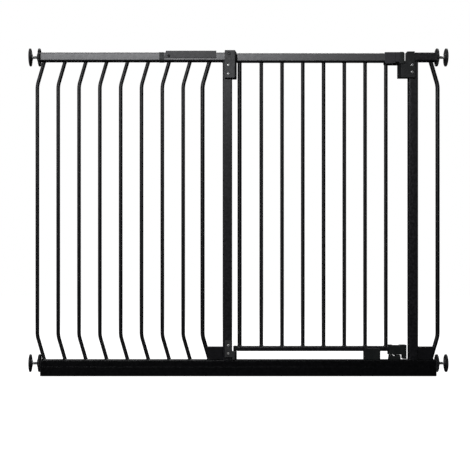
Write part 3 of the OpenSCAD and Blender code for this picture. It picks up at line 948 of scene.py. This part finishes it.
@dataclass
class RailFittings:
    """The saddle over the rail joint, its collar, and the plugs in the rail ends."""

    dresser: Dresser
    edge: float = 0.5 * MM

    def build(self) -> None:
        """Builds the fittings."""
        self.dresser.soften("top_joint_sleeve", Body.FRAME, "frame_coat", self.edge)
        self.dresser.soften("sleeve_collar", Body.FRAME, "dark_plastic", 0.25 * MM, 2)
        self.dresser.soften("base_end_caps", Body.FRAME, "bracket_plastic", self.edge)
        self.dresser.soften("top_end_bushes", Body.FRAME, "bracket_plastic", self.edge)


# ---- adjusters ----


@dataclass
class Adjuster:
    """A threaded spindle with its hand wheel and wall pad, in one corner."""

    dresser: Dresser
    corner: Corner
    spindle_radius: float = 4.9 * MM
    bore_radius: float = 4.95 * MM
    pitch: float = 2 * MM
    thread_depth: float = 1.05 * MM
    thread_start: float = 20 * MM
    thread_steps: int = 8
    thread_sides: int = 40
    thread_power: float = 1.2
    tip_length: float = 1.2 * MM
    wheel_radius: float = 28.5 * MM
    flutes: int = 16
    flute_radius: float = 3 * MM
    flute_offset: float = 0.8 * MM
    steps_per_flute: int = 14
    pad_radius: float = 28.5 * MM
    pad_sides: int = 128
    spokes: int = 8
    spoke_slope: float = 3.2
    spoke_edge: float = 0.72

    def place(self, along: np.ndarray, radius: np.ndarray, turn: np.ndarray, start: float,
              axis: Vector) -> np.ndarray:
        """Points on round shapes about the adjuster's axis.

        Args:
            along: Distances outwards from start.
            radius: Distances from the axis.
            turn: Angles about it.
            start: X of the inner end, measured outwards.
            axis: A point on the axis.

        Returns:
            The points.
        """
        along, radius, turn = np.broadcast_arrays(along, radius, turn)
        return np.stack([self.corner.side * (start + along), axis.y + radius * np.cos(turn),
                         axis.z + radius * np.sin(turn)], axis=-1)

    def middle(self, node: str) -> tuple[Vector, float, float]:
        """A point on a node's axis, and its inner and outer distance from the gate's middle."""
        low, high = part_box(node)
        inner, outer = sorted((abs(low.x), abs(high.x)))
        return (low + high) / 2, inner, outer

    def flute(self, turn: np.ndarray) -> np.ndarray:
        """How far the rim is scooped away at an angle, in metres."""
        centre = self.wheel_radius + self.flute_offset
        step = TAU / self.flutes
        off = (turn + step / 2) % step - step / 2
        across = np.clip(centre * np.abs(np.sin(off)), 0, self.flute_radius)
        scooped = centre * np.cos(off) - np.sqrt(self.flute_radius**2 - across**2)
        return np.where(across < self.flute_radius, np.maximum(0, self.wheel_radius - scooped), 0)

    def spindle(self) -> None:
        """Cuts the screw thread."""
        node = "spindle_" + self.corner.value
        axis, inner, outer = self.middle(node)
        length = outer - inner
        turn = np.linspace(0, TAU, self.thread_sides, endpoint=False)
        plain = [0.0, self.thread_start]
        cut = list(np.arange(self.thread_start, length, self.pitch / self.thread_steps)) + [length]
        rows, hollows = [], []
        for s in plain + cut[1:]:
            phase = s / self.pitch - self.corner.side * turn / TAU
            fade = min(1.0, max(0.0, (s - self.thread_start) / self.pitch))
            groove = (0.5 - 0.5 * np.cos(TAU * phase)) ** self.thread_power * fade
            tip = max(0.0, 1 - (length - s) / self.tip_length)
            radius = self.spindle_radius - self.thread_depth * np.maximum(groove, tip)
            rows.append(self.place(np.float64(s), radius, turn, inner, axis))
            hollows.append(groove)
        mesh = grid_mesh(node + "_piece", np.array(rows), closed=False)
        # the thread's grooves, which the plating darkens as oil
        store(mesh, "hollow", np.concatenate(hollows))
        smooth(mesh, 60.0)
        piece = new_piece(node + "_piece", mesh)
        self.dresser.dress(piece, "adjuster_" + self.corner.value, "spindle_steel", node)

    def ring(self, name: str, section: Sequence[tuple[float, ...]], start: float, axis: Vector,
             sides: int) -> bpy.types.Object:
        """Turns a closed section about the axis.

        Args:
            name: The piece's name.
            section: (along, radius, flute share, spoke height) in millimetres, round the section.
            start: X of along = 0, measured outwards.
            axis: A point on the axis.
            sides: Steps about the axis.

        Returns:
            The piece.
        """
        turn = np.linspace(0, TAU, sides, endpoint=False)
        spoke = np.clip(self.spoke_slope * (np.cos(self.spokes * turn) - self.spoke_edge), 0, 1)
        rows = []
        for along, radius, fluted, raised in section:
            r = radius * MM - fluted * self.flute(turn)
            rows.append(self.place(along * MM + raised * MM * spoke, r, turn, start, axis))
        mesh = grid_mesh(name, np.array(rows), closed=True)
        mark_edges(mesh)
        smooth(mesh, 38.0)
        return new_piece(name, mesh)

    def hand_wheel(self) -> None:
        """Turns the hand wheel: scalloped rim, dished faces with spokes, and a hub."""
        node = "hand_wheel_" + self.corner.value
        axis, inner, _ = self.middle(node)
        bore = self.bore_radius / MM
        section = [(0.35, bore, 0, 0), (0.0, bore + 0.4, 0, 0), (0.0, 9.6, 0, 0), (0.25, 10.0, 0, 0),
                   (1.0, 10.5, 0, -0.7), (1.2, 11.0, 0, -0.8), (1.2, 21.8, 0, -0.8), (1.0, 22.3, 0, -0.7),
                   (0.25, 23.0, 0, 0), (0.0, 23.4, 0, 0), (0.0, 27.2, 0.75, 0), (0.25, 27.9, 0.95, 0),
                   (0.7, 28.35, 1, 0), (1.3, 28.5, 1, 0), (4.7, 28.5, 1, 0), (5.3, 28.35, 1, 0),
                   (5.75, 27.9, 0.95, 0), (6.0, 27.2, 0.75, 0), (6.0, 24.0, 0, 0), (5.75, 23.5, 0, 0),
                   (4.9, 22.7, 0, 0.8), (4.7, 22.0, 0, 0.9), (4.7, 13.6, 0, 0.9), (4.9, 12.9, 0, 0.8),
                   (5.6, 12.6, 0, 0), (9.5, 12.3, 0, 0), (9.9, 12.0, 0, 0), (10.0, 11.5, 0, 0),
                   (10.0, bore + 0.5, 0, 0), (9.65, bore, 0, 0)]
        piece = self.ring(node + "_piece", section, inner, axis, self.flutes * self.steps_per_flute)
        self.dresser.dress(piece, "wheel_" + self.corner.value, "wheel_plastic", node)

    def wall_pad(self) -> None:
        """Turns the pad's shell and its soft ribbed facing."""
        node = "wall_pad_" + self.corner.value
        axis, inner, _ = self.middle(node)
        body = "adjuster_" + self.corner.value
        edge = self.pad_radius / MM
        shell = [(0.4, 4.9, 0, 0), (0.0, 5.3, 0, 0), (0.0, 10.4, 0, 0), (0.2, 10.85, 0, 0),
                 (0.7, 11.0, 0, 0), (3.1, 11.1, 0, 0), (3.8, 11.5, 0, 0), (4.1, 12.4, 0, 0),
                 (4.1, edge - 1.4, 0, 0), (4.3, edge - 0.6, 0, 0), (4.7, edge - 0.1, 0, 0),
                 (5.2, edge, 0, 0), (6.4, edge, 0, 0), (6.4, edge - 2.0, 0, 0),
                 (5.9, edge - 2.0, 0, 0), (5.9, 4.9, 0, 0)]
        piece = self.ring(node + "_shell", shell, inner, axis, self.pad_sides)
        self.dresser.dress(piece, body, "pad_plastic", node)
        facing = [(5.9, 0.4, 0, 0), (5.9, edge - 2.0, 0, 0), (6.4, edge - 2.0, 0, 0), (6.45, edge, 0, 0),
                  (8.3, edge, 0, 0), (8.8, edge - 0.25, 0, 0), (9.0, edge - 0.9, 0, 0)]
        for r in np.arange(edge - 3.5, 3.0, -3.0):
            facing += [(9.0, r, 0, 0), (8.4, r - 0.35, 0, 0), (8.4, r - 0.85, 0, 0), (9.0, r - 1.2, 0, 0)]
        facing.append((9.0, 0.4, 0, 0))
        piece = self.ring(node + "_facing", facing, inner, axis, self.pad_sides)
        self.dresser.dress(piece, body, "pad_plastic", finish="pad_facing")

    def build(self) -> None:
        """Builds the adjuster."""
        self.spindle()
        self.hand_wheel()
        self.wall_pad()


# ---- studio ----


@dataclass
class Softbox:
    """A rectangular studio light."""

    name: str
    place: Point
    aim: Point
    size: tuple[float, float]
    power: float
    colour: Colour = (1.0, 1.0, 1.0)

    def build(self) -> None:
        """Hangs the light."""
        light = bpy.data.lights.new(self.name, "AREA")
        light.shape, light.size, light.size_y = "RECTANGLE", *self.size
        light.energy, light.color = self.power, self.colour
        lamp = bpy.data.objects.new(self.name, light)
        lamp.location = self.place
        lamp.rotation_euler = (Vector(self.aim) - Vector(self.place)).to_track_quat("-Z", "Y").to_euler()
        bpy.context.scene.collection.objects.link(lamp)


@dataclass
class Studio:
    """White floor and room, soft lights and the camera."""

    paper: StudioPaper = StudioPaper("studio_paper")
    half_width: float = 9.0
    ambient: float = 0.02
    eye: Point = (-0.110, -3.300, 0.350)
    lens: float = 78.99
    sensor: float = 36.0
    shift: tuple[float, float] = (0.0664, 0.0671)
    lights: tuple[Softbox, ...] = (
        Softbox("key", (-0.75, -3.0, 2.155), (-0.55, 0.0, 1.0), (2.4, 0.35), 80.0, (0.965, 0.975, 1.0)),
        Softbox("left_strip", (-2.4, -0.8, 1.3), (0.2, 0.0, 0.9), (0.4, 1.0), 7.0),
        Softbox("back_bank", (0.2, 1.7, 3.2), (0.0, 0.0, 0.5), (3.0, 0.9), 90.0))

    def floor(self) -> None:
        """Lays the floor. It neither lights the gate nor shows in its coats."""
        w = self.half_width
        mesh = bpy.data.meshes.new("floor")
        mesh.from_pydata([(-w, -w, 0), (w, -w, 0), (w, w, 0), (-w, w, 0)], [], [(0, 1, 2, 3)])
        mesh.materials.append(self.paper.material())
        ground = new_piece("floor", mesh)
        ground.visible_diffuse = ground.visible_glossy = False

    def surroundings(self) -> None:
        """A white room that the camera sees, and a dim one that lights the gate."""
        world = bpy.data.worlds.new("studio")
        bpy.context.scene.world = world
        world.use_nodes = True
        nodes, links = world.node_tree.nodes, world.node_tree.links
        nodes.clear()
        output = nodes.new("ShaderNodeOutputWorld")
        mix = nodes.new("ShaderNodeMixShader")
        links.new(nodes.new("ShaderNodeLightPath").outputs["Is Camera Ray"], mix.inputs["Fac"])
        for socket, strength in ((1, self.ambient), (2, 1.0)):
            tone = nodes.new("ShaderNodeBackground")
            tone.inputs["Strength"].default_value = strength
            tone.inputs["Color"].default_value = (1, 1, 1, 1)
            links.new(tone.outputs["Background"], mix.inputs[socket])
        links.new(mix.outputs["Shader"], output.inputs["Surface"])

    def camera(self) -> None:
        """Sets up the camera, level and looking along +Y."""
        data = bpy.data.cameras.new("camera")
        data.lens, data.sensor_width = self.lens, self.sensor
        data.shift_x, data.shift_y = self.shift
        data.dof.use_dof = False
        eye = bpy.data.objects.new("camera", data)
        eye.location = self.eye
        eye.rotation_euler = (math.pi / 2, 0, 0)
        bpy.context.scene.collection.objects.link(eye)
        bpy.context.scene.camera = eye

    def build(self) -> None:
        """Sets up the studio."""
        bpy.context.scene.view_settings.view_transform = "Standard"
        self.floor()
        self.surroundings()
        self.camera()
        for light in self.lights:
            light.build()


def main() -> None:
    """Builds the gate and the studio."""
    logging.basicConfig(level=logging.INFO, format="%(name)s: %(message)s")
    Studio().build()
    dresser = Dresser(Palette().made())
    for assembly in (TubeFrame(dresser), BarSet(dresser), Door(dresser), HingeSide(dresser),
                     LatchSide(dresser), RailFittings(dresser)):
        assembly.build()
    for corner in Corner:
        Adjuster(dresser, corner).build()


if __name__ == "__main__":
    main()
